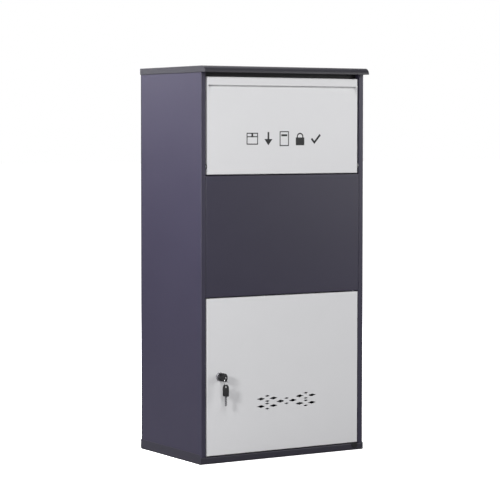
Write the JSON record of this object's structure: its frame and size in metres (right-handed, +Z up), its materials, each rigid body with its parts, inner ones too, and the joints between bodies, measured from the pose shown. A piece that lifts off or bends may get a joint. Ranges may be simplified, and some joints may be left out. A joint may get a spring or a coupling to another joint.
{
  "type": "parcel drop box",
  "caption": "Free-standing steel parcel drop box with an overhanging cap, a tilting parcel hopper, a fixed panel and a vented collection door with a cam lock and keys.",
  "frame": {"origin": "on the floor, at the centre of the cabinet between its two sides and between its stile faces and back panel", "axes": "+Z up, the front faces -Y, +X to the right of a person who faces the front"},
  "size_m": [0.495, 0.354, 1],
  "materials": {
    "body_coat": "fine-textured matt powder coat, dark grey with a violet cast",
    "base_coat": "fine-textured matt powder coat, dark grey with a violet cast",
    "cap_coat": "fine-textured matt powder coat, dark grey",
    "panel_coat": "fine-textured satin powder coat, light grey",
    "zinc_sheet": "zinc-plated folded sheet",
    "zinc_fastener": "zinc-plated steel",
    "lug_coat": "black powder coat",
    "rubber": "matt black sponge and moulded rubber",
    "nylon": "black nylon",
    "print_ink": "screen-printed dark grey ink",
    "lock_metal": "satin chrome-plated die-cast zinc",
    "key_steel": "nickel-plated steel",
    "key_plastic": "black moulded plastic"
  },
  "bodies": {
    "cabinet": {"left_side": "body_coat", "right_side": "body_coat", "back_panel": "body_coat", "base_pan": "base_coat", "top_cap": "cap_coat", "head_rail": "lug_coat", "mid_panel": "body_coat", "mid_stiffener": "zinc_sheet", "chute_baffle": "body_coat", "hopper_pivot_pins": "zinc_fastener", "hopper_stop_brackets": "zinc_sheet", "hopper_buffers": "rubber", "lower_hinge_lug": "lug_coat", "upper_hinge_pin": "zinc_fastener", "lower_hinge_pin": "zinc_fastener", "door_seal": "rubber", "back_rivets": "zinc_fastener", "mid_rivets": "zinc_fastener"},
    "hopper": {"hopper_front": "panel_coat", "hopper_floor": "panel_coat", "left_cheek": "panel_coat", "right_cheek": "panel_coat", "hopper_stiffener": "zinc_sheet", "hopper_bushes": "nylon", "hopper_stop_studs": "zinc_fastener", "hopper_rivets": "zinc_fastener", "front_pictograms": "print_ink"},
    "door": {"door_skin": "panel_coat", "door_stiffener": "zinc_sheet", "door_bushes": "nylon", "lock_body": "lock_metal", "lock_nut": "lock_metal"},
    "lock_plug": {"lock_plug": "lock_metal", "lock_cam": "lock_metal", "cam_screw": "zinc_fastener"},
    "key": {"key_blade": "key_steel", "key_head": "key_plastic"},
    "key_ring": {"key_ring": "key_steel"},
    "spare_key": {"spare_key_blade": "key_steel", "spare_key_head": "key_plastic"}
  },
  "joints": [
    {"name": "hopper_tilt", "type": "hinge", "parent": "cabinet", "child": "hopper", "pos_m": [0, -0.1475, 0.748], "axis": [1, 0, 0], "range_deg": [0, 45]},
    {"name": "door_swing", "type": "hinge", "parent": "cabinet", "child": "door", "pos_m": [0.22, -0.148, 0.218], "axis": [0, 0, 1], "range_deg": [0, 110]},
    {"name": "lock_turn", "type": "hinge", "parent": "door", "child": "lock_plug", "pos_m": [-0.192, -0.156, 0.2195], "axis": [0, 1, 0], "range_deg": [0, 90]},
    {"name": "key_draw", "type": "slide", "parent": "lock_plug", "child": "key", "axis": [0, -1, 0], "range_m": [0, 0.03]},
    {"name": "ring_swing", "type": "hinge", "parent": "key", "child": "key_ring", "pos_m": [-0.192, -0.1859, 0.218], "axis": [-0.6428, 0.766, 0], "range_deg": [-15, 15]},
    {"name": "spare_swing", "type": "hinge", "parent": "key_ring", "child": "spare_key", "pos_m": [-0.192, -0.1859, 0.1984], "axis": [0.9848, 0.1736, 0], "range_deg": [-15, 15]}
  ]
}
